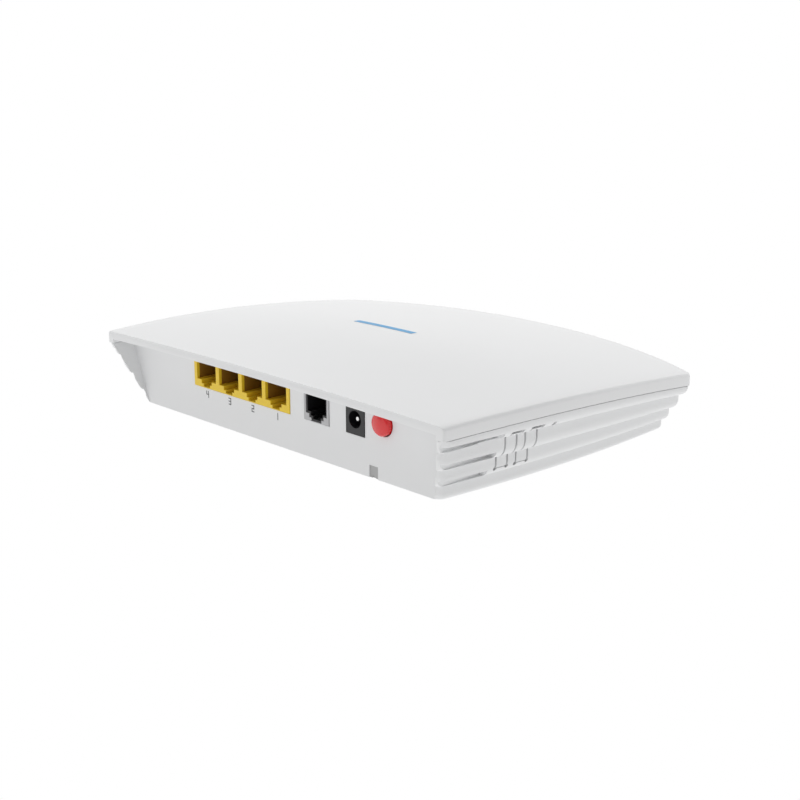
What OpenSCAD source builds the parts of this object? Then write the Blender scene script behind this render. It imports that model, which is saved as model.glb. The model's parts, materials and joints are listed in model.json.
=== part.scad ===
// Optical network terminal: a low white casing with a domed cover, a recessed port wall at the rear,
// card-like ridges along its sides, and the board with its sockets, switches and optics inside.
// Local frame of every sub-part: X across, centred; Y from the cover's rear edge to the front;
// Z from the underside of the base. placed() moves it so that the origin is under the middle.

/* [Casing] */
// Width across the rear corners of the cover
body_w = 189.1; // [180:0.1:200]
// Depth from the rear edge to the front corners
body_d = 130.2; // [126:0.1:140]
// How far the front edge bows out past its corners
front_bow = 17.2; // [12:0.1:20]
// Exponent of the front edge's bow: higher is flatter in the middle
bow_power = 2.43; // [2:0.01:3]
// How far each side bows out at mid depth
side_bow = 3.7; // [1:0.1:5]
// Height of the cover's rear corners above the underside
corner_h = 28.8; // [27:0.1:32]
// Rise of the cover per millimetre of depth at the rear edge
rise = 0.036; // [0.02:0.001:0.05]
// Fall of the cover with the square of the depth
fall = 0.0006; // [0.0004:0.00005:0.0008]
// Crown of the cover across its rear edge
rear_crown = 1.2; // [0.5:0.1:3]
// Crown of the cover across its middle and front
mid_crown = 4.7; // [3:0.1:6]
// Height of the cover's side band
band_h = 4.6; // [3.5:0.1:6]
// Thickness of the cover's rear lip
lip_h = 3; // [2:0.1:4]
// Depth of the port wall's face under the rear lip
recess = 9.45; // [6:0.05:12]
// Wall thickness of the cover and the floor
wall = 2; // [1.6:0.1:2.4]
// Wall thickness of the ridged sides
side_wall = 3.2; // [2.6:0.1:3.6]
// Height of the rubber feet below the floor
foot_h = 0.8; // [0.5:0.1:1.5]

/* [Board] */
// Height of the board's top face
board_top = 12.5; // [11.5:0.1:13]
// Thickness of the board
board_t = 1.6; // [1:0.2:2]

/* [Sockets] */
// Pitch of the network ports
lan_pitch = 13.97; // [13.9:0.01:14.1]
// Width of a network port's plug space
lan_w = 11.9; // [11.8:0.1:12.2]
// Width of the phone port's plug space
phone_w = 9.9; // [9.8:0.1:10.2]
// Diameter of the power plug's barrel space
power_d = 6.2; // [5.8:0.1:6.4]
// Diameter of the power socket's centre pin
power_pin_d = 2; // [1.9:0.1:2.5]

/* [Buttons] */
// Diameter of the round power button
power_button_d = 8.4; // [8:0.1:8.8]
// Travel of the power button
power_travel = 2; // [1:0.1:2.2]
// Travel of a tact switch's plunger
tact_travel = 0.3; // [0.2:0.05:0.35]

/* [Hidden] */

$fn = 48;
nib = 0.01;
seam = 0.2;                 // parting line between the base and the cover
front_inset = 1;            // the base's front stands this far inside the cover's
corner_soft = 1.2;          // softness of the front corners
corner_r = 0.8;             // radius of the cover's rear corners
rim_r = 2.5;                // rounding of the side wings' rear edge
edge_r = 1.2;               // rounding of the cover's top edge
tip = 0.1;                  // half width of the front's flat middle, as a share of the whole
overall_d = body_d + front_bow * (1 - pow(tip, bow_power));
wall_y = recess + 2.2;      // inner face of the port wall

// Ridged side, from the bottom card to the top one
card_z = [0, 0.22, 0.5, 0.81];      // lower edge, as a share of the wall's height
card_in = [11.3, 8, 4, 0];          // how far the card stands inside the cover
card_r = [1.5, 2.9, 3.3, 3.4];      // how deep its lower edge is rounded
card_nose = [0.4, 0.6, 0.6, 0.95];  // share of its height that the rounding takes

// Stations along the depth
side_steps = 8;
front_steps = [0.97, 0.88, 0.72, 0.5, 0.28, tip];
arc = [0, 45, 90];          // angles along a rounded edge

// Ports, along X
lan_x = -20.6;
lan_n = 4;
lan_block_w = 57.2;
phone_x = 22.75;
power_x = 43.05;
switch_x = 56.95;
notch_x = 52;
notch_w = 4.4;
notch_h = 4.45;
button_z = 20.4;
button_flat = 3.4;          // height of its flat top above its centre
button_out = 2.6;           // how far the power button stands out of the port wall
port_sill = 13.4;           // lower edge of the port wall's cut-outs

// Right-hand buttons, along Y
wps_y = [29.5, 35.5];
wifi_y = [38.7, 45];
reset_y = 50;
slit = 0.8;                 // width of the slits round a tongue
tongue_root = 7.6;          // height of the tongues' living hinges
tongue_top = 20.8;
press_z = 17;               // height at which a tongue presses its switch
reset_z = 20.8;
tact_face = 81.5;           // outer face of the tact switches
tact_out = 1.6;             // how far a plunger stands out of its switch
tact_gap = 0.1;             // free play between a tongue's boss and its plunger
hinge_in = 9.6;             // how far the living hinge's axis stands inside the cover
hinge_up = 0.9;             // height of that axis above the slits' lower ends
hinge_r = 0.6;

// Board and screws
board_x = [-79, 81];
board_y = [12.2, 118];
case_screw_spots = [[-72, 24], [72, 24], [-68, 110], [68, 110]];
board_screw_spots = [[-55, 44], [26, 44], [-50, 104], [50, 104]];
foot_spots = [[-70, 18], [70, 18], [-62, 122], [62, 122]];
foot_r = 5;
keyhole_span = 110;
keyhole_y = 86.5;
keyhole_r = 4;

// Fibre bay under the floor
bay_x = [38, 66];
bay_y = [wall_y, 78];
bay_h = 9.4;
sc_x = notch_x;
sc_y = [60, 76];
sc_z = 4.9;
led_n = 8;
led_pitch = 7;
led_z = board_top + 1.6;

// ---- Outline and dome of the casing ----

function soft_min(a, b, k) = min(a, b) - k * ln(1 + exp(-abs(a - b) / k));
function side_w(y) = body_w / 2 + side_bow * 4 * (y / body_d) * (1 - y / body_d);
function front_w(y) = body_w / 2 * pow(max(0, 1 - (y - body_d) / front_bow), 1 / bow_power);
function half_w(y, inset = 0) =
    soft_min(side_w(y), front_w(y + inset), corner_soft * min(1, front_w(y + inset) / 40));
function rear_cut(y) = y >= corner_r ? 0 : corner_r - sqrt(pow(corner_r, 2) - pow(corner_r - y, 2));
function crown(y) = rear_crown
    + (mid_crown - rear_crown) * pow(sin(90 * min(1, y / (0.6 * body_d))), 2);
function across(x, y) = x / (y <= body_d ? side_w(y) : body_w / 2);
function top_z(x, y) = corner_h + rise * y - fall * y * y + crown(y) * (1 - pow(across(x, y), 2));
function band_z(y) = top_z(half_w(y), y) - band_h;

// Rounding of a wing's rear edge, `gap` ahead of that edge
function rim_cut(gap) = gap >= rim_r ? 0 : rim_r - sqrt(pow(rim_r, 2) - pow(rim_r - max(0, gap), 2));

function front_stations(inset) =
    [for (u = front_steps) body_d + front_bow * (1 - pow(u, bow_power)) - inset];
function side_stations(from) =
    [for (i = [0 : side_steps]) from + (body_d - 3 - from) * i / side_steps];
function stations(from, inset) =
    concat(side_stations(from), [body_d - 1.5 - inset], front_stations(inset));

// A closed loft through sections [y, [[x, z], ...]], each anticlockwise as seen from the rear
module loft(sections) {
    n = len(sections[0][1]);
    last = len(sections) - 1;
    points = [for (s = sections) for (p = s[1]) [p[0], s[0], p[1]]];
    first_cap = [[for (j = [0 : n - 1]) n - 1 - j]];
    last_cap = [[for (j = [0 : n - 1]) last * n + j]];
    lower = [for (i = [0 : last - 1]) for (j = [0 : n - 1])
        [i * n + j, i * n + (j + 1) % n, (i + 1) * n + (j + 1) % n]];
    upper = [for (i = [0 : last - 1]) for (j = [0 : n - 1])
        [i * n + j, (i + 1) * n + (j + 1) % n, (i + 1) * n + j]];
    polyhedron(points, concat(first_cap, last_cap, lower, upper), convexity = 6);
}

// Freeform shells are joined as one mesh; true round bores are cut from the result
module shell() {
    resize([0, 0, 0])
        children();
}

// A section from its right-hand half, listed from the bottom up
function whole(half) = concat(half, [for (i = [len(half) - 1 : -1 : 0]) [-half[i][0], half[i][1]]]);

// ---- Cover ----

cover_columns = 6;
function cover_half(y) =
    let (w = half_w(y) - rear_cut(y), flat = w - edge_r)
    concat([[w, band_z(y)]],
           [for (a = arc) [flat + edge_r * cos(a), top_z(w, y) - edge_r * (1 - sin(a))]],
           [for (i = [1 : cover_columns]) let (x = flat * (1 - i / (cover_columns + 0.5)))
               [x, top_z(x, y)]]);

// The space under the cover's skin: `in` from the sides and `drop` below the top, down to `low`
function under_half(y, in, drop, low, inset = 0) =
    let (w = half_w(y, inset) - in)
    concat([[w, low], [w, top_z(w, y) - drop]],
           [for (i = [1 : 5]) let (x = w * (1 - i / 5.5)) [x, top_z(x, y) - drop]]);

module under(from, to, in, drop, low) {
    steps = 3;
    loft([for (i = [0 : steps]) let (y = from + (to - from) * i / steps)
        [y, whole(under_half(y, in, drop, low))]]);
}

module cover_cavity() {
    loft([for (y = stations(wall_y + seam, wall)) [y, whole(under_half(y, wall, wall, 5, wall))]]);
}

module top_cover() placed() color("white") shell() {
    difference() {
        loft([for (y = concat([0, 0.4, 1.3], stations(corner_r, 0))) [y, whole(cover_half(y))]]);
        cover_cavity();
        under(-1, wall_y + seam + nib, 3.5, lip_h, 5);
    }
    for (p = case_screw_spots)
        cover_post(p, $fn = 24);
}

// Post under the cover that takes a case screw
module cover_post(p) {
    foot = board_top + 1;
    translate([p[0], p[1], foot])
        difference() {
            cylinder(r = 3, h = top_z(p[0], p[1]) - wall + 0.6 - foot);
            translate([0, 0, -nib])
                cylinder(r = 1.3, h = 10);
        }
}

// ---- Base ----

function card_top(c) = c < 3 ? card_z[c + 1] : 1;
function card_half(y, inset) =
    let (w = half_w(y, inset), h = band_z(y) - seam, k = min(1, 2 * w / body_w))
    [for (c = [0 : 3]) for (a = [each arc, 180])
        let (z = a > 90 ? card_top(c) * h
                 : card_z[c] * h + card_nose[c] * (card_top(c) - card_z[c]) * h * (1 - cos(a)),
             in = a > 90 ? card_in[c] : card_in[c] + card_r[c] * (1 - sin(a)))
        [w - k * in - rim_cut(y - rim_y(z)), z]];

// Depth of the wings' slanted rear edge at height z
function rim_y(z) = recess * (1 - z / band_z(0));

function hollow_half(y, inset) =
    let (w = half_w(y, inset), h = band_z(y), k = min(1, 2 * w / body_w))
    [for (c = [0 : 3]) for (top = [0, 1])
        [w - k * card_in[c] - side_wall,
         top == 0 ? card_z[c] * h + wall : (c < 3 ? card_top(c) * h + wall : h + 4)]];

rim_steps = [0, 1.2, 2.4, 4, 6, 8, 9.6];
module ridged_block() {
    loft([for (y = concat(rim_steps, stations(recess + rim_r, front_inset)))
        [y, whole(card_half(y, front_inset))]]);
}

module ridged_hollow() {
    inset = front_inset + wall;
    loft([for (y = stations(wall_y, inset)) [y, whole(hollow_half(y, inset))]]);
}

// Slanted rear edge of the two side wings, and the recess between them
module rear_cuts() {
    slope = atan(recess / band_z(0));
    translate([0, recess, 0])
        rotate([slope, 0, 0])
            translate([-body_w, -40, -20])
                cube([2 * body_w, 40, 80]);
    translate([0, recess, 0])
        rotate([90, 0, 0])
            linear_extrude(20)
                polygon([[-crease_x(-1), -1], [crease_x(-1), -1],
                         [crease_x(corner_h), corner_h], [-crease_x(corner_h), corner_h]]);
}
// Where a wing's inner face meets the port wall, at height z
function crease_x(z) = 81.2 + 0.427 * z;

module port_wall() {
    intersection() {
        translate([-88, recess, 0])
            cube([176, wall_y - recess, corner_h + 3]);
        under(recess - 1, wall_y + 1, 3.7, lip_h + seam, 0);
        ridged_block();
    }
}

// Grooves behind the right-hand and left-hand buttons' place
groove_end = 26.5;
module side_grooves() {
    for (side = [-1, 1])
        for (g = [[20.9, 3.2], [13.8, 5.6], [6.6, 9.4]])
            translate([side * (body_w / 2 - g[1]) + (side < 0 ? -12 : 0), -1, g[0] - 1.1])
                cube([12, groove_end + 1, 2.2]);
}

module keyhole() {
    translate([0, 0, -1])
        cylinder(r = keyhole_r, h = wall + 2);
    translate([-2, 0, -1])
        cube([4, 9, wall + 2]);
    translate([0, 9, -1])
        cylinder(r = 2, h = wall + 2);
}

module floor_vents() {
    for (i = [0 : 9])
        for (row = [44, 92])
            translate([-42 + 7 * i, row, -1])
                cube([2.4, 18, wall + 2]);
}

module boss(p, r, h) {
    translate([p[0], p[1], 0])
        cylinder(r = r, h = h);
}

module bay_walls() {
    translate([bay_x[0] - 1.2, wall_y - 1, 0])
        cube([bay_x[1] - bay_x[0] + 2.4, bay_y[1] - wall_y + 2.2, bay_h + 1.1]);
}

module bay_space() {
    translate([bay_x[0], bay_y[0], -1])
        cube([bay_x[1] - bay_x[0], bay_y[1] - bay_y[0], bay_h + 1]);
    translate([notch_x - notch_w / 2, recess - 1, -1])
        cube([notch_w, 5, notch_h + 1]);
    translate([sc_x, bay_y[1] - 1, sc_z])
        rotate([-90, 0, 0])
            cylinder(r = 1.9, h = 4);
}

// Window in the right-hand wall for a tongue between y[0] and y[1]
module tongue_window(y) {
    translate([body_w / 2 - 20, y[0], tongue_root])
        cube([30, y[1] - y[0], tongue_top + 1 - tongue_root]);
    for (edge = [y[0] + slit / 2, y[1] - slit / 2])
        translate([body_w / 2 - 20, edge, tongue_root])
            rotate([0, 90, 0])
                cylinder(d = 1.5, h = 30);
}

module port_cutouts() {
    top = corner_h - port_sill;
    depth = wall_y - recess + 2;
    translate([lan_x - lan_block_w / 2 - 0.2, recess - 1, port_sill])
        cube([lan_block_w + 0.4, depth, top]);
    translate([phone_x - 6.8, recess - 1, port_sill])
        cube([13.6, depth, top]);
    translate([power_x - 4.7, recess - 1, port_sill])
        cube([9.4, depth, 10.4]);
    translate([switch_x, recess - 1, button_z])
        rotate([-90, 0, 0])
            cylinder(d = power_button_d + 0.8, h = depth);
}

module led_windows() {
    for (i = [0 : led_n - 1])
        translate([led_pitch * (i - (led_n - 1) / 2) - 1.2, overall_d - 12, led_z - 0.8])
            cube([2.4, 20, 1.6]);
}

module base_tray() placed() color("white")
    difference() {
        shell()
            tray_body($fn = 24);
        for (side = [-1, 1])
            translate([side * keyhole_span / 2, keyhole_y, 0])
                keyhole();
    }

module tray_body()
    difference() {
        union() {
            difference() {
                ridged_block();
                ridged_hollow();
                rear_cuts();
            }
            port_wall();
            bay_walls();
            for (p = case_screw_spots)
                boss(p, 3.4, board_top);
            for (p = board_screw_spots)
                boss(p, 3, board_top - board_t);
        }
        side_grooves();
        bay_space();
        port_cutouts();
        led_windows();
        tongue_window(wps_y);
        tongue_window(wifi_y);
        translate([body_w / 2 - 20, reset_y, reset_z])
            rotate([0, 90, 0])
                cylinder(r = 0.9, h = 30);
        floor_vents();
        for (p = case_screw_spots)
            screw_hole(p, 1.7, 3.3, 2.6);
        for (p = board_screw_spots)
            translate([p[0], p[1], board_top - board_t - 7])
                cylinder(r = 1.05, h = 8);
        for (p = foot_spots)
            translate([p[0], p[1], -nib])
                cylinder(r = foot_r + 0.2, h = 0.6);
    }

module screw_hole(p, r, head_r, head_h) {
    translate([p[0], p[1], -1])
        cylinder(r = r, h = board_top + 2);
    translate([p[0], p[1], -1])
        cylinder(r = head_r, h = head_h + 1);
}

module rubber_feet() placed() color("dimgray")
    for (p = foot_spots)
        translate([p[0], p[1], -foot_h])
            cylinder(r1 = foot_r - 0.3, r2 = foot_r, h = foot_h + 0.5);

// A pan-head screw, its head down at z = 0
module screw(r, length, head_r, head_h) {
    difference() {
        cylinder(r = head_r, h = head_h);
        for (turn = [0, 90])
            rotate([0, 0, turn])
                translate([-head_r * 0.6, -0.3, -nib])
                    cube([head_r * 1.2, 0.6, head_h * 0.6]);
    }
    cylinder(r = r, h = length);
}

module case_screws() placed() color("silver")
    for (p = case_screw_spots)
        translate([p[0], p[1], 0.8])
            screw(1.25, 21, 2.9, 1.7);

// ---- Board ----

module main_board() placed() color("darkgreen")
    translate([0, 0, board_top - board_t])
        difference() {
            translate([board_x[0], board_y[0], 0])
                cube([board_x[1] - board_x[0], board_y[1] - board_y[0], board_t]);
            for (p = case_screw_spots)
                translate([p[0], p[1], -1])
                    cylinder(r = 3.8, h = board_t + 2);
            for (p = board_screw_spots)
                translate([p[0], p[1], -1])
                    cylinder(r = 1.5, h = board_t + 2);
        }

module board_screws() placed() color("silver")
    for (p = board_screw_spots)
        translate([p[0], p[1], board_top + 1.4])
            mirror([0, 0, 1])
                screw(1, 7.5, 2.4, 1.35);

// A block on the board: centre in X, range in Y, size in X and height
module on_board(x, y, w, h) {
    translate([x - w / 2, y[0], board_top + 0.05])
        cube([w, y[1] - y[0], h]);
}

// ---- Network sockets ----

lan_front = recess - 0.3;
lan_depth = 21;
lan_floor = 16.4;       // underside of the plug's body
lan_roof = 23.4;        // top of the plug's body
function lan_port_x(i) = lan_x + lan_pitch * (i - (lan_n - 1) / 2);

// Plug space with its latch notch below, larger by `grow` on every side
module modular_space(w, low, high, depth, grow = 0) {
    for (step = [[w, low, high], [6.4, low - 1.4, low + nib], [4.1, low - 2.5, low - 1.4 + nib]])
        translate([-step[0] / 2 - grow, -1, step[1] - grow])
            cube([step[0] + 2 * grow, depth + 1, step[2] - step[1] + 2 * grow]);
}

// A socket's block: full height behind the port wall, and a nose through the wall's cut-out
module socket_block(x, w, depth, h) {
    back = wall_y + 0.15;
    translate([x - w / 2, back, board_top + 0.05])
        cube([w, lan_front + depth - back, h]);
    translate([x - w / 2, lan_front, port_sill + 0.2])
        cube([w, back - lan_front + nib, board_top + h - port_sill - 0.15]);
}

module lan_jack_housing() placed() color("gold")
    difference() {
        socket_block(lan_x, lan_block_w, lan_depth, 13);
        for (i = [0 : lan_n - 1])
            translate([lan_port_x(i), lan_front, 0])
                modular_space(lan_w, lan_floor, lan_roof, 15);
    }

// Sprung wires of a modular socket: n of them at a pitch of 1.02 mm, hanging `droop` low
module contact_wires(n, high, depth, droop) {
    for (i = [0 : n - 1])
        translate([1.02 * (i - (n - 1) / 2) - 0.18, 0, 0])
            rotate([90, 0, 90])
                linear_extrude(0.36)
                    polygon([[3, high - 0.1], [3, high - 0.5], [depth, high - droop],
                             [depth, high - droop + 0.5]]);
}

module lan_contacts() placed() color("goldenrod")
    for (i = [0 : lan_n - 1])
        translate([lan_port_x(i), lan_front, 0])
            contact_wires(8, lan_roof, 14.6, 2.2);

// ---- Phone socket ----

phone_w_out = 13.2;
phone_roof = 22.9;
phone_floor = 16.9;
phone_skin = 0.7;       // thickness of the inner moulding

module phone_jack_housing() placed() color("lightgray")
    difference() {
        socket_block(phone_x, phone_w_out, 16, 12.6);
        translate([phone_x, lan_front, 0])
            modular_space(phone_w, phone_floor, phone_roof, 13, phone_skin);
    }

module phone_jack_insert() placed() color("black")
    translate([phone_x, lan_front, 0])
        difference() {
            intersection() {
                modular_space(phone_w, phone_floor, phone_roof, 12.9, phone_skin - 0.05);
                translate([-10, 0.3, 0])
                    cube([20, 20, 40]);
            }
            modular_space(phone_w, phone_floor, phone_roof, 11.9);
        }

module phone_contacts() placed() color("goldenrod")
    translate([phone_x, lan_front + 0.3, 0])
        contact_wires(4, phone_roof, 11, 1.5);

// ---- Power socket ----

power_axis_z = 19;
module power_jack_housing() placed() color("black")
    difference() {
        socket_block(power_x, 9.2, 14, 11.1);
        translate([power_x, lan_front - 1, power_axis_z])
            rotate([-90, 0, 0])
                cylinder(d = power_d, h = 11);
        translate([power_x - 0.8, lan_front + 3, power_axis_z - 4.2])
            cube([1.6, 7, 2]);
    }

module power_jack_pin() placed() color("silver")
    translate([power_x, lan_front + 1.2, power_axis_z])
        rotate([-90, 0, 0]) {
            cylinder(d1 = power_pin_d - 0.6, d2 = power_pin_d, h = 0.8);
            translate([0, 0, 0.8])
                cylinder(d = power_pin_d, h = 8);
        }

module power_jack_spring() placed() color("silver")
    translate([power_x - 0.7, lan_front + 3.2, power_axis_z - 4.1])
        cube([1.4, 6.6, 1.2]);

// ---- Power switch ----

switch_y = [16.5, 29];
module power_switch_body() placed() color("black")
    difference() {
        on_board(switch_x, switch_y, 10, 12);
        translate([switch_x - 2.3, switch_y[0] - 1, button_z - 2.3])
            cube([4.6, 10, 4.6]);
    }

module power_switch_plunger() placed() color("white")
    translate([switch_x - 1.8, switch_y[0] - 0.5, button_z - 1.8])
        cube([3.6, 5, 3.6]);

module power_button() placed() color("red")
    translate([switch_x, recess - button_out, button_z])
        rotate([-90, 0, 0]) {
            difference() {
                union() {
                    cylinder(d1 = power_button_d - 1, d2 = power_button_d, h = 0.6);
                    translate([0, 0, 0.6])
                        cylinder(d = power_button_d, h = button_out + 1.8);
                }
                translate([-10, -button_flat - 10, -1])
                    cube([20, 10, button_out + 10]);
            }
            translate([-1.8, -1.8, button_out + 2.4])
                cube([3.6, 3.6, switch_y[0] - 0.5 - recess - 2.4]);
        }

// ---- Side buttons ----

function inner_x(y) = side_w(y) - card_in[2] - side_wall;

// A tongue of the ridged wall with the boss that presses its switch
module tongue(y) {
    middle = (y[0] + y[1]) / 2;
    shell()
        intersection() {
            difference() {
                ridged_block();
                ridged_hollow();
            }
            translate([body_w / 2 - 20, y[0] + slit, tongue_root + 0.25])
                cube([30, y[1] - y[0] - 2 * slit, tongue_top - tongue_root - 0.25]);
        }
    translate([side_w(middle) - hinge_in, y[0] + slit, tongue_root + hinge_up])
        rotate([-90, 0, 0])
            cylinder(r = hinge_r, h = y[1] - y[0] - 2 * slit);
    boss_tip = tact_face + tact_out + tact_gap;
    translate([boss_tip, middle, press_z])
        rotate([0, 90, 0])
            cylinder(r = 1.2, h = inner_x(middle) + 0.6 - boss_tip);
}

module tact_body(y, z) {
    translate([tact_face - 4.4, y - 2.9, board_top + 0.05])
        difference() {
            cube([4.4, 5.8, z + 2 - board_top]);
            translate([2.4, 2.9, z - board_top - 0.05])
                rotate([0, 90, 0])
                    cylinder(r = 1.05, h = 3);
        }
}

module tact_plunger(y, z) {
    translate([tact_face - 1.4, y, z])
        rotate([0, 90, 0])
            cylinder(r = 0.9, h = 1.4 + tact_out);
}

module wps_button() placed() color("white")
    tongue(wps_y);
module wps_switch_body() placed() color("black")
    tact_body((wps_y[0] + wps_y[1]) / 2, press_z);
module wps_switch_plunger() placed() color("silver")
    tact_plunger((wps_y[0] + wps_y[1]) / 2, press_z);
module wifi_button() placed() color("white")
    tongue(wifi_y);
module wifi_switch_body() placed() color("black")
    tact_body((wifi_y[0] + wifi_y[1]) / 2, press_z);
module wifi_switch_plunger() placed() color("silver")
    tact_plunger((wifi_y[0] + wifi_y[1]) / 2, press_z);
module reset_switch_body() placed() color("black")
    tact_body(reset_y, reset_z);
module reset_switch_plunger() placed() color("silver")
    tact_plunger(reset_y, reset_z);

// ---- Optics ----

module optical_receptacle() placed() color("green")
    difference() {
        translate([sc_x - 6, sc_y[0], 0.2])
            cube([12, sc_y[1] - sc_y[0], 9.1]);
        translate([sc_x - 4.6, sc_y[0] - 1, 1])
            cube([9.2, 13, 7.5]);
        translate([sc_x, sc_y[0], sc_z])
            rotate([-90, 0, 0])
                cylinder(r = 1.75, h = 30);
    }

module optical_sleeve() placed() color("ivory")
    translate([sc_x, sc_y[0] + 4, sc_z])
        rotate([-90, 0, 0])
            difference() {
                cylinder(r = 1.65, h = 15.4);
                translate([0, 0, -1])
                    cylinder(r = 1.25, h = 18);
            }

module optical_transceiver() placed() color("silver")
    translate([sc_x, bay_y[1] + 1.5, sc_z])
        rotate([-90, 0, 0]) {
            cylinder(r = 2.6, h = 9);
            translate([0, 0, 9 - nib])
                cylinder(r = 2.1, h = 4);
            translate([-2, sc_z - board_top + board_t + 0.05, 3])
                cube([4, 4, 4]);
        }

// Soft plug that closes the fibre's notch while no fibre is fitted
module fibre_plug() placed() color("gray")
    translate([notch_x - notch_w / 2 + 0.05, recess + 0.4, 0])
        difference() {
            cube([notch_w - 0.1, 3.2, notch_h - 0.05]);
            translate([1.2, -1, -nib])
                cube([notch_w - 2.5, 1.4, 0.8]);
        }

// ---- Chips and small parts ----

cpu = [-22, [58, 80]];
module main_processor() placed() color("black")
    on_board(cpu[0], cpu[1], 22, 1.6);
module thermal_pad() placed() color("lightblue")
    translate([cpu[0] - 9, cpu[1][0] + 2, board_top + 1.7])
        cube([18, 18, 0.5]);
module heat_sink() placed() color("silver")
    translate([cpu[0] - 16, cpu[1][0] - 5, board_top + 2.25]) {
        cube([32, 32, 1.8]);
        for (i = [0 : 8])
            translate([3.8 * i, 0, 1.8 - nib])
                cube([1.4, 32, 9]);
    }
module memory_chip() placed() color("black")
    on_board(14, [70, 82], 9, 1.1);
module flash_chip() placed() color("black")
    on_board(14, [56, 63], 8, 1);
module wifi_shield() placed() color("silver")
    difference() {
        on_board(-56, [66, 92], 24, 2.6);
        translate([-56 - 11.7, 66.3, board_top])
            cube([23.4, 25.4, 2.45]);
    }
module phone_line_chip() placed() color("black")
    on_board(24, [28, 35], 7, 1);
module lan_transformers() placed() color("black")
    for (side = [-1, 1])
        on_board(lan_x + side * 14, [32, 39], 24, 5.6);
module power_capacitors() placed() color("navy")
    for (p = [[44, 34], [55, 34], [44, 46]])
        translate([p[0], p[1], board_top + 0.05])
            cylinder(d = 8, h = 11);
module power_inductor() placed() color("dimgray")
    on_board(57, [42, 52], 10, 5);
module clock_crystal() placed() color("silver")
    on_board(0, [52, 55.2], 5, 1.3);
module status_leds() placed() color("palegreen")
    for (i = [0 : led_n - 1])
        on_board(led_pitch * (i - (led_n - 1) / 2), [114, 115.6], 2, 3);

module light_guide() placed() color("azure") {
    first = -led_pitch * (led_n - 1) / 2;
    translate([first - 2, 119.5, led_z - 0.7])
        cube([-2 * first + 4, 2.4, 1.4]);
    for (i = [0 : led_n - 1])
        translate([first + led_pitch * i - 1, 116, led_z - 0.7])
            cube([2, guide_end(first + led_pitch * i) - 116, 1.4]);
}
// Front face of the base at x
function guide_end(x) =
    body_d + front_bow * (1 - pow(max(tip, (abs(x) + 1) / (body_w / 2)), bow_power))
    - front_inset - 0.1;

antenna_y = 124;
module antenna(side) {
    translate([side * 60 - 14, antenna_y, 4])
        cube([28, 0.8, 12]);
    translate([side * 60 - 6, antenna_y - 3, 4])
        cube([4, 3.1, 0.8]);
}
module antenna_left() placed() color("silver")
    antenna(-1);
module antenna_right() placed() color("silver")
    antenna(1);

// A thin lead through points, as straight runs with round corners
module lead(points, d) {
    for (i = [0 : len(points) - 2]) {
        run = points[i + 1] - points[i];
        translate(points[i])
            rotate([0, acos(run[2] / norm(run)), atan2(run[1], run[0])])
                cylinder(d = d, h = norm(run));
        translate(points[i])
            sphere(d = d);
    }
}
module antenna_cables() placed() color("black") shell() {
    $fn = 8;
    deck = board_top + 1;
    lead([[-48, 91, board_top + 3.4], [-48, 98, deck], [-40, 112, deck], [-42, 121, deck],
          [-56, 123.4, 12]], 1.1);
    lead([[-46, 78, board_top + 3.4], [-30, 98, deck], [30, 108, deck], [38, 121, deck],
          [54, 123.4, 12]], 1.1);
}

// From the local frame to the part's own: the origin is on the ground, under the middle
module placed() {
    translate([0, -overall_d / 2, foot_h])
        children();
}

top_cover();
base_tray();
rubber_feet();
case_screws();
main_board();
board_screws();
lan_jack_housing();
lan_contacts();
phone_jack_housing();
phone_jack_insert();
phone_contacts();
power_jack_housing();
power_jack_pin();
power_jack_spring();
power_switch_body();
power_switch_plunger();
power_button();
wps_button();
wps_switch_body();
wps_switch_plunger();
wifi_button();
wifi_switch_body();
wifi_switch_plunger();
reset_switch_body();
reset_switch_plunger();
optical_receptacle();
optical_sleeve();
optical_transceiver();
fibre_plug();
main_processor();
thermal_pad();
heat_sink();
memory_chip();
flash_chip();
wifi_shield();
phone_line_chip();
lan_transformers();
power_capacitors();
power_inductor();
clock_crystal();
status_leds();
light_guide();
antenna_left();
antenna_right();
antenna_cables();
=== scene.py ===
"""Optical network terminal: fine shells, materials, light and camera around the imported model."""
import json
import math

import bmesh
import bpy
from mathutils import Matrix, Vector


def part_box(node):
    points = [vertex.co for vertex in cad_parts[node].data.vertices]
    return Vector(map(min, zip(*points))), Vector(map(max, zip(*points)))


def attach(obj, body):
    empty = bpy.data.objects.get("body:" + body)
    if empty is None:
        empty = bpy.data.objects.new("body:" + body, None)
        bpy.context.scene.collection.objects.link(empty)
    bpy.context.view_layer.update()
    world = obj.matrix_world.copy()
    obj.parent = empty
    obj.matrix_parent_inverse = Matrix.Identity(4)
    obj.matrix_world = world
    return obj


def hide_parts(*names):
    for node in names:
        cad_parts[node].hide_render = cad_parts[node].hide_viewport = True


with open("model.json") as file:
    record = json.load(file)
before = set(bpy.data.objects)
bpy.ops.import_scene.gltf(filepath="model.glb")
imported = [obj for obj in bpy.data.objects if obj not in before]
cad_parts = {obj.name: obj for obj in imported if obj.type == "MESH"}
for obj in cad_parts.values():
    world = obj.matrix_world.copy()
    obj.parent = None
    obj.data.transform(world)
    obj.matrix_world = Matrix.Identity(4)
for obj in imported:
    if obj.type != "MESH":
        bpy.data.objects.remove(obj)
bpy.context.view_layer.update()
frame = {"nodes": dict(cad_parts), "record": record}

MM = 0.001

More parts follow.
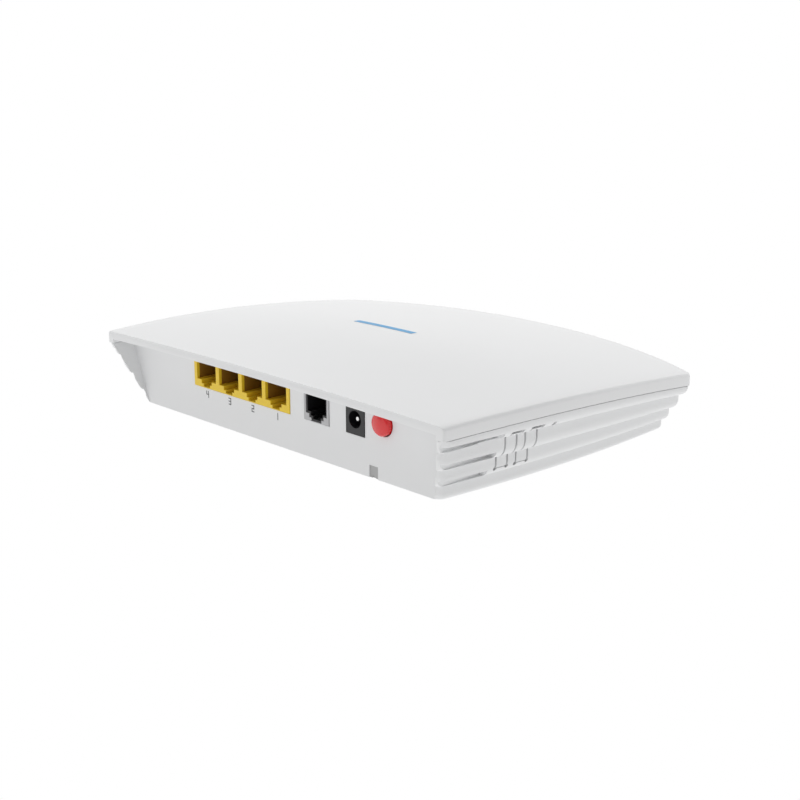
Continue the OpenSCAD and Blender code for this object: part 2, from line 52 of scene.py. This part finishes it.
# Driving dimensions of the casing, in millimetres, in the local frame of the part's source:
# X across and centred, Y from the cover's rear edge, Z from the underside of the base
BODY_W, BODY_D, FRONT_BOW, BOW_POWER, SIDE_BOW = 189.1, 130.2, 17.2, 2.43, 3.7
CORNER_H, RISE, FALL, REAR_CROWN, MID_CROWN = 28.8, 0.036, 0.0006, 1.2, 4.7
BAND_H, LIP_H, RECESS, WALL, SIDE_WALL = 4.6, 3.0, 9.45, 2.0, 3.2
SEAM, FRONT_INSET, CORNER_SOFT, CORNER_R, EDGE_R, TIP = 0.2, 1.0, 1.2, 0.8, 1.2, 0.1
RIM_R = 2.5
WALL_Y = RECESS + 2.2
CARD_Z = (0, 0.22, 0.5, 0.81, 1)
CARD_IN = (11.3, 8, 4, 0)
CARD_R = (1.5, 2.9, 3.3, 3.4)
CARD_NOSE = (0.4, 0.6, 0.6, 0.95)
TONGUES = {"wps": (29.5, 35.5), "wifi": (38.7, 45.0)}
SLIT, ROOT, TONGUE_TOP = 0.8, 7.6, 20.8
LAN_X, LAN_PITCH, LAN_COUNT = -20.6, 13.97, 4
SILL = 13.4                       # lower edge of the port wall's cut-outs
CREASE_LOW, CREASE_HIGH = 80.8, 93.5  # where the wings meet the port wall, below and above
GROOVES = ((20.9, 3.2), (13.8, 5.6), (6.6, 9.4))  # height, depth into the side
GROOVE_END = 26.5
PRESS_Z, PINHOLE = 17, (50, 20.8)
BAY_X, BAY_END, BAY_TOP, BAY_SKIN = (38, 66), 78, 9.4, 1.2
NOTCH_X, NOTCH_H, FIBRE = (49.8, 54.2), 4.45, (52, 4.9)
KEYHOLE_X, KEYHOLE_Y = 55, 86.5
SCREW_SPOTS = ((-72, 24), (72, 24), (-68, 110), (68, 110))
FOOT_SPOTS = ((-70, 18), (70, 18), (-62, 122), (62, 122))
BUTTON_FLAT, BUTTON_CAP = 3.4, 6.4  # height of its flat top above its centre, and its length
MARK = (-27, 6, 71.4, 74.6)       # the blue bar's ends and sides

cover_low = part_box("top_cover")[0]
ORIGIN = Vector((0, cover_low.y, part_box("base_tray")[0].z))


def place(x, y, z):
    """A point of the local frame, as a point of the shared frame in metres."""
    return ORIGIN + Vector((x, y, z)) * MM


def local(node):
    """A CAD node's box in the local frame, in millimetres."""
    return [(corner - ORIGIN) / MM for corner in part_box(node)]


# ---- Outline and dome ----

def soft_min(a, b, k):
    return min(a, b) - k * math.log(1 + math.exp(-abs(a - b) / k))


def side_w(y):
    return BODY_W / 2 + SIDE_BOW * 4 * (y / BODY_D) * (1 - y / BODY_D)


def front_w(y):
    return BODY_W / 2 * max(0.0, 1 - (y - BODY_D) / FRONT_BOW) ** (1 / BOW_POWER)


def half_w(y, inset=0.0):
    front = front_w(y + inset)
    return soft_min(side_w(y), front, CORNER_SOFT * max(0.02, min(1, front / 40)))


def rear_cut(y):
    return 0 if y >= CORNER_R else CORNER_R - math.sqrt(CORNER_R**2 - (CORNER_R - y) ** 2)


def rim_cut(gap):
    """Rounding of a wing's rear edge, at a gap ahead of that edge."""
    return 0 if gap >= RIM_R else RIM_R - math.sqrt(RIM_R**2 - (RIM_R - max(0, gap)) ** 2)


def rim_y(z):
    """Depth of the wings' slanted rear edge at height z."""
    return RECESS * (1 - z / band_z(0))


def crown(y):
    share = math.sin(math.pi / 2 * min(1, y / (0.6 * BODY_D))) ** 2
    return REAR_CROWN + (MID_CROWN - REAR_CROWN) * share


def top_z(x, y):
    across = x / (side_w(y) if y <= BODY_D else BODY_W / 2)
    return CORNER_H + RISE * y - FALL * y * y + crown(y) * (1 - across**2)


def band_z(y):
    return top_z(half_w(y), y) - BAND_H


def stations(start, inset, steps=48):
    """Depths of a loft's sections: even along the sides, then closer round the front's bow."""
    sides = [start + (BODY_D - 3 - start) * i / steps for i in range(steps + 1)]
    corner = [BODY_D - k - inset * 0.5 for k in (2.0, 1.2, 0.4)]
    shares = [0.99, 0.97, 0.94, 0.9, 0.85, 0.79, 0.72, 0.65, 0.57, 0.49, 0.41, 0.33, 0.25, 0.17, TIP]
    return sides + corner + [BODY_D + FRONT_BOW * (1 - u**BOW_POWER) - inset for u in shares]


# ---- Mesh helpers ----

def make(name, points, faces):
    """A mesh object from points in the local frame."""
    mesh = bpy.data.meshes.new(name)
    mesh.from_pydata([place(*p) for p in points], [], faces)
    mesh.update()
    piece = bpy.data.objects.new(name, mesh)
    bpy.context.scene.collection.objects.link(piece)
    return piece


def loft(name, sections):
    """A closed solid through sections (y, [(x, z), ...]) with equal numbers of points."""
    n = len(sections[0][1])
    last = len(sections) - 1
    points = [(x, y, z) for y, ring in sections for x, z in ring]
    faces = [tuple(range(n - 1, -1, -1))[::-1], tuple(last * n + j for j in range(n))[::-1]]
    for i in range(last):
        for j in range(n):
            k = (j + 1) % n
            faces.append((i * n + j, i * n + k, (i + 1) * n + k, (i + 1) * n + j))
    piece = make(name, points, faces)
    face_outward(piece)
    return piece


def face_outward(piece):
    bm = bmesh.new()
    bm.from_mesh(piece.data)
    bmesh.ops.recalc_face_normals(bm, faces=bm.faces)
    bm.to_mesh(piece.data)
    bm.free()


def whole(half):
    """A section from its right-hand half, listed from the bottom up."""
    return half + [(-x, z) for x, z in reversed(half)]


def box(name, low, high):
    (x0, y0, z0), (x1, y1, z1) = low, high
    points = [(x, y, z) for x in (x0, x1) for y in (y0, y1) for z in (z0, z1)]
    faces = [(0, 1, 3, 2), (4, 6, 7, 5), (0, 4, 5, 1), (2, 3, 7, 6), (0, 2, 6, 4), (1, 5, 7, 3)]
    piece = make(name, points, faces)
    face_outward(piece)
    return piece


def prism(name, outline, start, end, axis):
    """An outline of (u, v) points drawn out along an axis: Y takes (x, z), Z takes (x, y), X (y, z)."""
    def point(u, v, w):
        return {"Y": (u, w, v), "Z": (u, v, w), "X": (w, u, v)}[axis]
    n = len(outline)
    points = [point(u, v, w) for w in (start, end) for u, v in outline]
    faces = [tuple(range(n)), tuple(range(2 * n - 1, n - 1, -1))]
    faces += [(j, n + j, n + (j + 1) % n, (j + 1) % n) for j in range(n)]
    piece = make(name, points, faces)
    face_outward(piece)
    return piece


def circle(u, v, r, sides=40):
    return [(u + r * math.cos(math.tau * i / sides), v + r * math.sin(math.tau * i / sides))
            for i in range(sides)]


def rounded(u0, v0, u1, v1, r, steps=5):
    """A rectangle with round corners, as (u, v) points."""
    out = []
    for cu, cv, turn in ((u1 - r, v1 - r, 0), (u0 + r, v1 - r, 1), (u0 + r, v0 + r, 2), (u1 - r, v0 + r, 3)):
        for i in range(steps + 1):
            a = math.pi / 2 * (turn + i / steps)
            out.append((cu + r * math.cos(a), cv + r * math.sin(a)))
    return out


def join(pieces):
    """Several cutters as one object; they may overlap."""
    first = pieces[0]
    if len(pieces) > 1:
        with bpy.context.temp_override(active_object=first, object=first,
                                       selected_editable_objects=pieces, selected_objects=pieces):
            bpy.ops.object.join()
    return first


def boolean(piece, tool, operation):
    """Applies one exact boolean and removes its tool, whose own pieces may overlap."""
    step = piece.modifiers.new("step", "BOOLEAN")
    step.object, step.operation, step.solver = tool, operation, "EXACT"
    step.use_self = True
    bpy.context.view_layer.update()
    result = bpy.data.meshes.new_from_object(piece.evaluated_get(bpy.context.evaluated_depsgraph_get()))
    piece.modifiers.remove(step)
    old, piece.data = piece.data, result
    bpy.data.meshes.remove(old)
    bpy.data.objects.remove(tool)


def smooth(piece, angle=28):
    piece.data.shade_smooth()
    piece.data.set_sharp_from_angle(angle=math.radians(angle))


def tidy(piece, angle=28):
    """Welds the seams a boolean leaves, then shades smooth below an angle."""
    bm = bmesh.new()
    bm.from_mesh(piece.data)
    bmesh.ops.remove_doubles(bm, verts=bm.verts, dist=2e-6)
    bmesh.ops.dissolve_degenerate(bm, edges=bm.edges, dist=1e-6)
    bm.to_mesh(piece.data)
    bm.free()
    smooth(piece, angle)


def finish_piece(piece, material, body, slot, *nodes):
    piece.data.materials.clear()
    piece.data.materials.append(material)
    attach(piece, body)
    if nodes:
        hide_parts(*nodes)


# ---- Materials ----

def plastic(name, colour, roughness, grain=0.0006, depth=0.02, mottling=0.03, **shader):
    """A moulded plastic: faint mottling, uneven gloss and a fine moulded texture."""
    material = bpy.data.materials.new(name)
    material.use_nodes = True
    tree = material.node_tree
    principled = tree.nodes["Principled BSDF"]
    place_node = tree.nodes.new("ShaderNodeTexCoord")
    cloud = tree.nodes.new("ShaderNodeTexNoise")
    cloud.inputs["Scale"].default_value = 60
    cloud.inputs["Detail"].default_value = 3
    tint = tree.nodes.new("ShaderNodeValToRGB")
    tint.color_ramp.elements[0].color = [c * (1 - mottling) for c in colour] + [1]
    tint.color_ramp.elements[1].color = [min(1, c * (1 + mottling)) for c in colour] + [1]
    gloss = tree.nodes.new("ShaderNodeMapRange")
    gloss.inputs["To Min"].default_value = roughness * 0.88
    gloss.inputs["To Max"].default_value = roughness * 1.12
    fine = tree.nodes.new("ShaderNodeTexNoise")
    fine.inputs["Scale"].default_value = 1 / grain
    fine.inputs["Detail"].default_value = 2
    bump = tree.nodes.new("ShaderNodeBump")
    bump.inputs["Strength"].default_value = depth
    bump.inputs["Distance"].default_value = 0.0002
    link = tree.links.new
    for noise in (cloud, fine):
        link(place_node.outputs["Object"], noise.inputs["Vector"])
    link(cloud.outputs["Fac"], tint.inputs["Fac"])
    link(tint.outputs["Color"], principled.inputs["Base Color"])
    link(cloud.outputs["Fac"], gloss.inputs["Value"])
    link(gloss.outputs["Result"], principled.inputs["Roughness"])
    link(fine.outputs["Fac"], bump.inputs["Height"])
    link(bump.outputs["Normal"], principled.inputs["Normal"])
    for socket, value in shader.items():
        principled.inputs[socket.replace("_", " ")].default_value = value
    return material


def metal(name, colour, roughness, stretch=(1, 1, 1), depth=0.05):
    """A bright metal with faint drawn lines along the axis that isn't stretched."""
    material = plastic(name, colour, roughness, 0.0004, depth, 0.06, Metallic=1.0)
    tree = material.node_tree
    mapping = tree.nodes.new("ShaderNodeMapping")
    mapping.inputs["Scale"].default_value = stretch
    source = next(n for n in tree.nodes if n.type == "TEX_COORD")
    tree.links.new(source.outputs["Object"], mapping.inputs["Vector"])
    for noise in (n for n in tree.nodes if n.type == "TEX_NOISE"):
        tree.links.new(mapping.outputs["Vector"], noise.inputs["Vector"])
    return material


MATERIALS = {
    "cover_plastic": plastic("cover_plastic", (0.88, 0.885, 0.89), 0.3, 0.0011, 0.025, 0.012,
                             Coat_Weight=0.25, Coat_Roughness=0.12),
    "base_plastic": plastic("base_plastic", (0.82, 0.825, 0.83), 0.46, 0.0005, 0.12, 0.015),
    "foot_rubber": plastic("foot_rubber", (0.12, 0.12, 0.12), 0.8, 0.0004, 0.3, 0.1),
    "screw_steel": metal("screw_steel", (0.6, 0.6, 0.62), 0.32),
    "board_laminate": plastic("board_laminate", (0.02, 0.16, 0.06), 0.35, 0.0008, 0.15, 0.2),
    "lan_yellow": plastic("lan_yellow", (0.86, 0.6, 0.03), 0.38, 0.0005, 0.08, 0.03),
    "contact_gold": metal("contact_gold", (0.72, 0.42, 0.12), 0.3),
    "phone_grey": plastic("phone_grey", (0.5, 0.5, 0.51), 0.42, 0.0005, 0.08, 0.03),
    "black_plastic": plastic("black_plastic", (0.012, 0.012, 0.013), 0.34, 0.0005, 0.08, 0.15),
    "bright_metal": metal("bright_metal", (0.8, 0.8, 0.79), 0.22),
    "white_nylon": plastic("white_nylon", (0.72, 0.72, 0.69), 0.45, 0.0004, 0.05, 0.03),
    "button_red": plastic("button_red", (0.72, 0.008, 0.012), 0.2, 0.0008, 0.02, 0.04,
                          Coat_Weight=0.5, Coat_Roughness=0.08),
    "plug_grey": plastic("plug_grey", (0.45, 0.45, 0.45), 0.6, 0.0005, 0.1, 0.04),
    "optic_green": plastic("optic_green", (0.03, 0.3, 0.09), 0.38, 0.0005, 0.08, 0.05),
    "chip_black": plastic("chip_black", (0.02, 0.02, 0.022), 0.55, 0.0003, 0.2, 0.1),
    "pad_blue": plastic("pad_blue", (0.25, 0.45, 0.6), 0.7, 0.0005, 0.2, 0.05),
    "sink_aluminium": metal("sink_aluminium", (0.72, 0.73, 0.74), 0.3, (8, 1, 8)),
    "can_blue": plastic("can_blue", (0.02, 0.035, 0.14), 0.3, 0.0006, 0.05, 0.06),
    "ferrite_grey": plastic("ferrite_grey", (0.1, 0.1, 0.105), 0.65, 0.0003, 0.3, 0.1),
    "led_lens": plastic("led_lens", (0.7, 0.85, 0.7), 0.15, 0.0008, 0.02, 0.03),
    "clear_acrylic": plastic("clear_acrylic", (0.85, 0.9, 0.92), 0.12, 0.0008, 0.02, 0.01,
                             Transmission_Weight=0.6, IOR=1.49),
    "cable_black": plastic("cable_black", (0.02, 0.02, 0.02), 0.5, 0.0006, 0.1, 0.1),
}
MARK_BLUE = plastic("mark_blue", (0.03, 0.36, 0.72), 0.35, 0.0008, 0.02, 0.04)
# Dark amber: painted shade for the insides of the yellow network sockets, not a colour of their own
SOCKET_SHADE_PAINT = plastic("socket_painted_shade", (0.26, 0.13, 0.012), 0.5, 0.0008, 0.05, 0.05)
PRINT_GREY = plastic("print_grey", (0.16, 0.16, 0.17), 0.5, 0.0006, 0.03, 0.05)


# ---- Cover ----

def cover_section(y, columns=30, rounds=5):
    w = half_w(y) - rear_cut(y)
    flat = w - EDGE_R
    half = [(w, band_z(y))]
    for i in range(rounds + 1):
        a = math.pi / 2 * i / rounds
        half.append((flat + EDGE_R * math.cos(a), top_z(w, y) - EDGE_R * (1 - math.sin(a))))
    for i in range(1, columns + 1):
        x = flat * (1 - i / (columns + 0.5))
        half.append((x, top_z(x, y)))
    return whole(half)


def under_section(y, inner, drop, low, inset=0.0, columns=16):
    """The space under the cover's skin."""
    w = max(0.05, half_w(y, inset) - inner)
    half = [(w, low), (w, top_z(w, y) - drop)]
    for i in range(1, columns + 1):
        x = w * (1 - i / (columns + 0.5))
        half.append((x, top_z(x, y) - drop))
    return whole(half)


def under(start, end, inner, drop, low, steps=4):
    ys = [start + (end - start) * i / steps for i in range(steps + 1)]
    return loft("under", [(y, under_section(y, inner, drop, low)) for y in ys])


def cover():
    ys = [CORNER_R * share for share in (0, 0.04, 0.14, 0.35, 0.65)] + stations(CORNER_R, 0)
    piece = loft("cover_skin", [(y, cover_section(y)) for y in ys])
    cavity = loft("cavity", [(y, under_section(y, WALL, WALL, 5, WALL))
                             for y in stations(WALL_Y + SEAM, WALL, 24)])
    boolean(piece, cavity, "DIFFERENCE")
    boolean(piece, under(-1, WALL_Y + SEAM + 0.01, 3.5, LIP_H, 5), "DIFFERENCE")
    tidy(piece, 32)
    return piece


# ---- Base ----

def card_section(y, inset, rounds=6):
    w, h = half_w(y, inset), band_z(y) - SEAM
    k = min(1, 2 * w / BODY_W)
    half = []
    for c in range(4):
        low, high = CARD_Z[c] * h, CARD_Z[c + 1] * h
        edge = []
        for i in range(rounds + 1):
            a = math.pi / 2 * i / rounds
            edge.append((CARD_IN[c] + CARD_R[c] * (1 - math.sin(a)),
                         low + CARD_NOSE[c] * (high - low) * (1 - math.cos(a))))
        for inner, z in edge + [(CARD_IN[c], high)]:
            half.append((w - k * inner - rim_cut(y - rim_y(z)), z))
    return whole(half)


def hollow_section(y, inset):
    w, h = half_w(y, inset), band_z(y)
    k = min(1, 2 * w / BODY_W)
    half = []
    for c in range(4):
        x = max(0.05, w - k * CARD_IN[c] - SIDE_WALL)
        half.append((x, CARD_Z[c] * h + WALL))
        half.append((x, CARD_Z[c + 1] * h + WALL if c < 3 else h + 4))
    return whole(half)


def ridged_shell(name, ys, hollow_ys):
    """The ridged side walls and floor through the given depths, open above."""
    piece = loft(name, [(y, card_section(y, FRONT_INSET)) for y in ys])
    hollow = loft("hollow", [(y, hollow_section(y, FRONT_INSET + WALL)) for y in hollow_ys])
    boolean(piece, hollow, "DIFFERENCE")
    return piece


def rear_wedge():
    """What lies behind the slanted rear edge of the side wings."""
    slope = RECESS / band_z(0)
    outline = [(RECESS + slope * 5, -5), (RECESS - slope * 45, 45), (-20, 45), (-20, -5)]
    return prism("wedge", outline, -BODY_W, BODY_W, "X")


def tongue_windows():
    tools = []
    for y0, y1 in TONGUES.values():
        tools.append(box("window", (BODY_W / 2 - 20, y0, ROOT), (BODY_W / 2 + 10, y1, TONGUE_TOP + 1)))
        for edge in (y0 + SLIT / 2, y1 - SLIT / 2):
            tools.append(prism("dot", circle(edge, ROOT, 0.75), BODY_W / 2 - 20, BODY_W / 2 + 10, "X"))
    tools.append(prism("pinhole", circle(*PINHOLE, 0.9), BODY_W / 2 - 20, BODY_W / 2 + 10, "X"))
    return join(tools)


def grooves():
    tools = []
    for side in (-1, 1):
        for z, inner in GROOVES:
            x = side * (BODY_W / 2 - inner)
            tools.append(box("groove", (min(x, x + side * 12), -1, z - 1.1),
                             (max(x, x + side * 12), GROOVE_END, z + 1.1)))
    return join(tools)


def tray():
    rim = [0.6 * i for i in range(int((RECESS + RIM_R) / 0.6) + 1)]
    piece = ridged_shell("tray_skin", rim + stations(rim[-1] + 0.6, FRONT_INSET, 40),
                         stations(WALL_Y, FRONT_INSET + WALL, 24))
    boolean(piece, rear_wedge(), "DIFFERENCE")
    recess = [(-CREASE_LOW, -1), (CREASE_LOW, -1), (CREASE_HIGH, CORNER_H), (-CREASE_HIGH, CORNER_H)]
    boolean(piece, prism("recess", recess, -10, RECESS, "Y"), "DIFFERENCE")
    wall = box("wall", (-88, RECESS, 15), (88, WALL_Y, CORNER_H + 3))
    boolean(wall, under(RECESS - 1, WALL_Y + 1, 3.7, LIP_H + SEAM, 0), "INTERSECT")
    boolean(piece, wall, "UNION")
    x0, x1 = BAY_X
    boolean(piece, box("bay", (x0 - BAY_SKIN, WALL_Y - 1, 0),
                       (x1 + BAY_SKIN, BAY_END + BAY_SKIN, BAY_TOP + 1.1)), "UNION")
    boolean(piece, join([box("space", (x0, WALL_Y, -1), (x1, BAY_END, BAY_TOP)),
                         box("notch", (NOTCH_X[0], RECESS - 1, -1), (NOTCH_X[1], RECESS + 4, NOTCH_H)),
                         prism("fibre_hole", circle(*FIBRE, 1.9), BAY_END - 1, BAY_END + 2, "Y")]),
            "DIFFERENCE")
    boolean(piece, grooves(), "DIFFERENCE")
    boolean(piece, tongue_windows(), "DIFFERENCE")
    boolean(piece, port_cutouts(), "DIFFERENCE")
    boolean(piece, floor_openings(), "DIFFERENCE")
    tidy(piece, 32)
    return piece


def port_cutouts():
    y0, y1 = RECESS - 1, WALL_Y + 1
    lan_low, lan_high = local("lan_jack_housing")
    phone_low, phone_high = local("phone_jack_housing")
    power_low, power_high = local("power_jack_housing")
    button_low, button_high = local("power_button")
    button_r = (button_high.x - button_low.x) / 2
    tools = [box("lan", (lan_low.x - 0.2, y0, SILL), (lan_high.x + 0.2, y1, CORNER_H)),
             box("phone", (phone_low.x - 0.2, y0, SILL), (phone_high.x + 0.2, y1, CORNER_H)),
             box("power", (power_low.x - 0.2, y0, SILL), (power_high.x + 0.2, y1, SILL + 10.4)),
             prism("button", circle(button_low.x + button_r, button_low.z + button_r, button_r + 0.4, 64),
                   y0, y1, "Y")]
    for i in range(8):
        x = 7 * (i - 3.5)
        tools.append(box("window", (x - 1.2, BODY_D + 4, 13.3), (x + 1.2, BODY_D + 22, 14.9)))
    return join(tools)


def floor_openings():
    tools = []
    for i in range(10):
        for y in (44, 92):
            x = -42 + 7 * i
            tools.append(prism("vent", rounded(x, y, x + 2.4, y + 18, 1.1), -1, WALL + 1, "Z"))
    for side in (-1, 1):
        x, y = KEYHOLE_X * side, KEYHOLE_Y
        tools.append(prism("keyhole", circle(x, y, 4), -1, WALL + 1, "Z"))
        tools.append(prism("keyhole_slot", rounded(x - 2, y - 4, x + 2, y + 11, 1.9), -1, WALL + 1, "Z"))
    for x, y in SCREW_SPOTS:
        tools.append(prism("screw", circle(x, y, 3.3), -1, 2.6, "Z"))
    for x, y in FOOT_SPOTS:
        tools.append(prism("foot", circle(x, y, 5.2), -1, 0.59, "Z"))
    return join(tools)


def tongue(name, y0, y1):
    ys = [y0 + SLIT + (y1 - y0 - 2 * SLIT) * i / 4 for i in range(5)]
    piece = ridged_shell(name + "_tongue_skin", ys, [y0 - 1, (y0 + y1) / 2, y1 + 1])
    low = (BODY_W / 2 - 20, y0, ROOT + 0.25)
    high = (BODY_W / 2 + 10, y1, TONGUE_TOP)
    boolean(piece, box("limits", low, high), "INTERSECT")
    middle, tip = (y0 + y1) / 2, local(name + "_switch_plunger")[1].x + 0.1
    stem = prism("boss", circle(middle, PRESS_Z, 1.2), tip, side_w(middle) - 4 - SIDE_WALL + 0.6, "X")
    boolean(piece, stem, "UNION")
    tidy(piece, 32)
    return piece


# ---- Sockets and button ----

def button():
    """The round push button: a turned cap with a shallow dome and a flat top, and its square stem."""
    low, high = local("power_button")
    r = (high.x - low.x) / 2
    x, z = low.x + r, low.z + r
    profile = [(0.0, 0.0)]
    profile += [(r * 0.72 * i / 8, 0.42 * (i / 8) ** 2) for i in range(1, 9)]
    profile += [(r * 0.72 + r * 0.28 * math.sin(a), 0.42 + 1.2 * (1 - math.cos(a)))
                for a in (math.pi / 2 * i / 10 for i in range(1, 11))]
    profile += [(r, BUTTON_CAP), (0.0, BUTTON_CAP)]
    sides = 64
    points, faces = [], []
    for radius, depth in profile:
        ring = 1 if radius == 0 else sides
        points += [(x + radius * math.cos(math.tau * k / sides), low.y + depth,
                    z + radius * math.sin(math.tau * k / sides)) for k in range(ring)]
    start = 1
    faces += [(0, start + (k + 1) % sides, start + k) for k in range(sides)]
    for i in range(len(profile) - 3):
        a, b = 1 + i * sides, 1 + (i + 1) * sides
        faces += [(a + k, a + (k + 1) % sides, b + (k + 1) % sides, b + k) for k in range(sides)]
    end = len(points) - 1
    a = end - sides
    faces += [(end, a + k, a + (k + 1) % sides) for k in range(sides)]
    piece = make("power_button_cap", points, faces)
    face_outward(piece)
    cap_end = low.y + BUTTON_CAP - 0.1
    stem = box("stem", (x - 1.8, cap_end, z - 1.8), (x + 1.8, high.y, z + 1.8))
    boolean(piece, stem, "UNION")
    boolean(piece, box("flat", (x - 9, low.y - 1, z + BUTTON_FLAT), (x + 9, cap_end, z + 9)), "DIFFERENCE")
    tidy(piece, 40)
    return piece


def lan_painted_shade():
    """Dark amber sheets of painted shade on the sides, roof and back inside the network sockets' openings.
    """
    front = local("lan_jack_housing")[0].y
    points, faces = [], []
    for i in range(LAN_COUNT):
        x = LAN_X + LAN_PITCH * (i - (LAN_COUNT - 1) / 2)
        first = len(points)
        for y in (front + 1.2, front + 14.9):
            points += [(x - 5.9, y, 16.5), (x - 5.9, y, 23.35), (x + 5.9, y, 23.35), (x + 5.9, y, 16.5)]
        faces += [(first + j, first + j + 1, first + j + 5, first + j + 4) for j in range(3)]
        faces.append(tuple(first + j for j in (4, 5, 6, 7)))
    return make("lan_painted_shade", points, faces)


def blue_mark():
    """A plain blue bar, printed on the cover where it would carry a name."""
    x0, x1, y0, y1 = MARK
    lift, columns, rows = 0.06, 44, 6
    points, faces = [], []
    for i in range(columns + 1):
        x = x0 + (x1 - x0) * i / columns
        for j in range(rows + 1):
            y = y0 + (y1 - y0) * j / rows
            points.append((x, y, top_z(x, y) + lift))
    for i in range(columns):
        for j in range(rows):
            a = i * (rows + 1) + j
            faces.append((a, a + rows + 1, a + rows + 2, a + 1))
    return make("cover_mark", points, faces)


SEGMENTS = {1: "bc", 2: "abged", 3: "abgcd", 4: "fgbc"}
STROKES = {"a": (0, 2, 1, 2), "b": (1, 2, 1, 1), "c": (1, 1, 1, 0), "d": (0, 0, 1, 0),
           "e": (0, 0, 0, 1), "f": (0, 1, 0, 2), "g": (0, 1, 1, 1)}


def port_digits():
    """Plain digits under the network sockets, made of straight strokes."""
    tools = []
    size, pen = 1.15, 0.19
    for i in range(LAN_COUNT):
        centre = LAN_X + LAN_PITCH * (i - (LAN_COUNT - 1) / 2)
        for key in SEGMENTS[LAN_COUNT - i]:
            u0, v0, u1, v1 = (c * size for c in STROKES[key])
            x, z = centre - size / 2, 10.0
            tools.append(box("digit", (x + min(u0, u1) - pen, RECESS - 0.04, z + min(v0, v1) - pen),
                             (x + max(u0, u1) + pen, RECESS + 0.02, z + max(v0, v1) + pen)))
    piece = join(tools)
    piece.name = "port_digits"
    return piece


# ---- Stage ----

def aim(thing, target):
    thing.rotation_mode = "QUATERNION"
    thing.rotation_quaternion = (Vector(target) - thing.location).to_track_quat("-Z", "Y")


def area_light(name, spot, target, size, power, colour=(1, 1, 1)):
    data = bpy.data.lights.new(name, "AREA")
    data.shape, data.size, data.size_y = "RECTANGLE", size[0], size[1]
    data.energy, data.color = power, colour
    lamp = bpy.data.objects.new(name, data)
    bpy.context.scene.collection.objects.link(lamp)
    lamp.location = spot
    aim(lamp, target)


def camera():
    """The view from behind the terminal's right-hand side, a little above it."""
    data = bpy.data.cameras.new("camera")
    data.lens, data.sensor_width, data.clip_start = 65.0, 36.0, 0.01
    eye = bpy.data.objects.new("camera", data)
    bpy.context.scene.collection.objects.link(eye)
    eye.location = (0.3947, -0.3781, 0.1571)
    yaw, pitch = 0.81, 0.2702
    forward = Vector((-math.sin(yaw) * math.cos(pitch), math.cos(yaw) * math.cos(pitch), -math.sin(pitch)))
    aim(eye, eye.location + forward)
    bpy.context.scene.camera = eye


def glow(name):
    """A plain white that shines evenly, as a lit studio sweep does."""
    material = bpy.data.materials.new(name)
    material.use_nodes = True
    principled = material.node_tree.nodes["Principled BSDF"]
    principled.inputs["Base Color"].default_value = (0, 0, 0, 1)
    principled.inputs["Specular IOR Level"].default_value = 0
    principled.inputs["Emission Color"].default_value = (1, 1, 1, 1)
    principled.inputs["Emission Strength"].default_value = 1.0
    return material


def sheet(name, points, material):
    mesh = bpy.data.meshes.new(name)
    mesh.from_pydata(points, [], [(0, 1, 2, 3)])
    piece = bpy.data.objects.new(name, mesh)
    bpy.context.scene.collection.objects.link(piece)
    piece.data.materials.append(material)


def stage():
    """A white studio: an even floor and two far walls, a top light and a weaker one from the left."""
    white, r, h = glow("studio_white"), 4.0, 3.0
    sheet("floor", [(-r, -r, 0), (r, -r, 0), (r, r, 0), (-r, r, 0)], white)
    sheet("wall_left", [(-r, -r, 0), (-r, r, 0), (-r, r, h), (-r, -r, h)], white)
    sheet("wall_front", [(-r, r, 0), (r, r, 0), (r, r, h), (-r, r, h)], white)
    world = bpy.data.worlds.new("world")
    bpy.context.scene.world = world
    world.use_nodes = True
    background = world.node_tree.nodes["Background"]
    background.inputs["Color"].default_value = (1, 1, 1, 1)
    background.inputs["Strength"].default_value = 0.35
    area_light("top_softbox", (-0.1, 0.1, 0.9), (0, 0, 0), (0.7, 0.7), 3.4)
    area_light("rear_softbox", (-0.5, -0.9, 0.55), (0, 0, 0.02), (0.5, 0.5), 0.9)
    bpy.context.scene.view_settings.view_transform = "Standard"


def main():
    camera()
    stage()
    slots = {s["node"]: s["material_slot"] for s in frame["record"]["subparts"]}
    for node, piece in frame["nodes"].items():
        piece.data.materials.clear()
        piece.data.materials.append(MATERIALS[slots[node]])
        smooth(piece, 30)
    finish_piece(cover(), MATERIALS["cover_plastic"], "casing", "cover_plastic", "top_cover")
    finish_piece(tray(), MATERIALS["base_plastic"], "casing", "base_plastic", "base_tray")
    for name, (y0, y1) in TONGUES.items():
        finish_piece(tongue(name, y0, y1), MATERIALS["base_plastic"], name + "_tongue",
                     "base_plastic", name + "_button")
    finish_piece(button(), MATERIALS["button_red"], "power_key", "button_red", "power_button")
    # The dark amber sheets are painted shade inside the network sockets
    finish_piece(lan_painted_shade(), SOCKET_SHADE_PAINT, "casing", "lan_yellow")
    finish_piece(blue_mark(), MARK_BLUE, "casing", "can_blue")
    finish_piece(port_digits(), PRINT_GREY, "casing", "black_plastic")


main()
